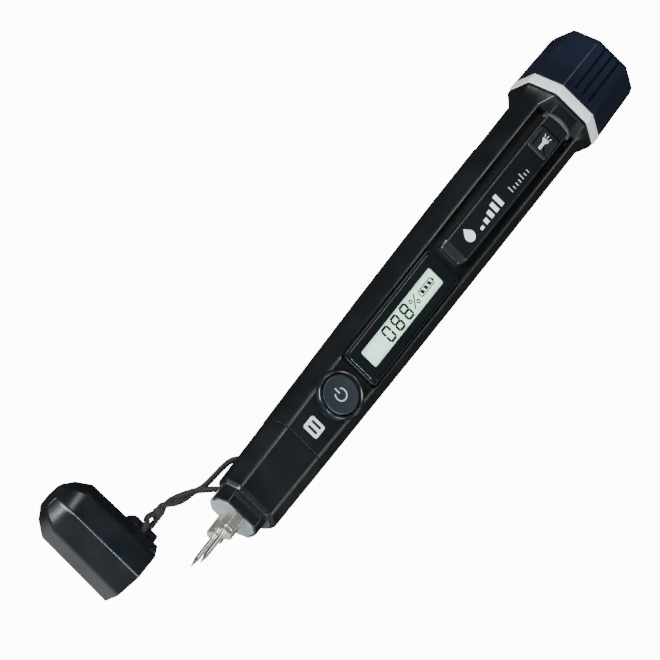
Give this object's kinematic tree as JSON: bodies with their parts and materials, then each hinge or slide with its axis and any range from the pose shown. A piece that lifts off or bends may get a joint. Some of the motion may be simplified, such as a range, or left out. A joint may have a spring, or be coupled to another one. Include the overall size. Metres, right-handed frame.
{
  "type": "moisture meter",
  "caption": "Pocket pin moisture meter with a display, round power button, flashlight head, battery door and a protective cap on a short lanyard.",
  "frame": {"origin": "centre of the flat end face of the nose, midway between the two pins", "axes": "+Y along the housing from the pins to the flashlight, +Z out of the display side, +X to the right of the display"},
  "size_m": [0.0506, 0.1999, 0.023],
  "materials": {
    "body_plastic": "satin",
    "nose_plastic": "satin",
    "nickel_plate": "polished",
    "pin_steel": "polished",
    "contact_brass": "polished",
    "trim_plastic": "gloss",
    "button_plastic": "satin",
    "switch_metal": "brushed",
    "button_rubber": "satin",
    "label_plastic": "gloss",
    "lens_plastic": "gloss",
    "display_glass": "polished",
    "diffuser_plastic": "matte",
    "board_laminate": "satin",
    "buzzer_plastic": "matte",
    "cell_sleeve": "gloss",
    "spring_steel": "polished",
    "ring_metal": "satin",
    "head_plastic": "satin",
    "seal_rubber": "matte",
    "lamp_glass": "polished",
    "reflector_mirror": "polished",
    "led_plastic": "gloss",
    "board_white": "matte",
    "sink_aluminium": "machined",
    "screw_steel": "polished",
    "cap_plastic": "satin",
    "liner_rubber": "matte",
    "lanyard_cord": "braided"
  },
  "bodies": {
    "housing": {"front_shell": "body_plastic", "rear_shell": "body_plastic", "nose_shell": "body_plastic", "pin_block": "nose_plastic", "pin_holder_front": "nickel_plate", "pin_holder_back": "nickel_plate", "pin_front": "pin_steel", "pin_back": "pin_steel", "pin_contacts": "contact_brass", "power_ring": "trim_plastic", "power_switch": "switch_metal", "light_switch": "switch_metal", "hold_label": "label_plastic", "lcd_lens": "lens_plastic", "lcd_glass": "display_glass", "lcd_backlight": "diffuser_plastic", "main_board": "board_laminate", "buzzer": "buzzer_plastic", "battery_lower": "cell_sleeve", "battery_upper": "cell_sleeve", "battery_spring": "spring_steel", "battery_plate": "spring_steel", "trim_ring": "ring_metal", "head_bezel": "head_plastic", "lens_ring": "head_plastic", "lens_seal": "seal_rubber", "lamp_lens": "lamp_glass", "reflector": "reflector_mirror", "led": "led_plastic", "led_board": "board_white", "heat_sink": "sink_aluminium", "case_screws": "screw_steel", "lanyard_strand_a": "lanyard_cord", "lanyard_strand_b": "lanyard_cord"},
    "battery_door": {"battery_door": "body_plastic"},
    "power_button": {"power_button": "button_plastic"},
    "light_button": {"light_button": "button_rubber"},
    "cap_carrier": {"lanyard_knot": "lanyard_cord"},
    "cap": {"cap": "cap_plastic", "cap_liner": "liner_rubber", "lanyard_loop": "lanyard_cord"}
  },
  "joints": [
    {"name": "power_press", "type": "slide", "parent": "housing", "child": "power_button", "axis": [0, 0, -1], "range_m": [0, 0.0005], "stiffness_N_per_m": 2000, "springref_m": -0.0002},
    {"name": "light_press", "type": "slide", "parent": "housing", "child": "light_button", "axis": [0, 0, -1], "range_m": [0, 0.0005], "stiffness_N_per_m": 2000, "springref_m": -0.0002},
    {"name": "door_lift", "type": "slide", "parent": "housing", "child": "battery_door", "axis": [0, 0, -1], "range_m": [0, 0.012]},
    {"name": "cap_slide", "type": "slide", "parent": "housing", "child": "cap_carrier", "axis": [0, 1, 0], "range_m": [0, 0.021], "deforming": ["lanyard_strand_a", "lanyard_strand_b"]},
    {"name": "cap_turn", "type": "hinge", "parent": "cap_carrier", "child": "cap", "pos_m": [-0.0119, -0.0183, 0], "axis": [0, 0, 1], "range_deg": [0, 90], "deforming": ["lanyard_loop"]}
  ]
}
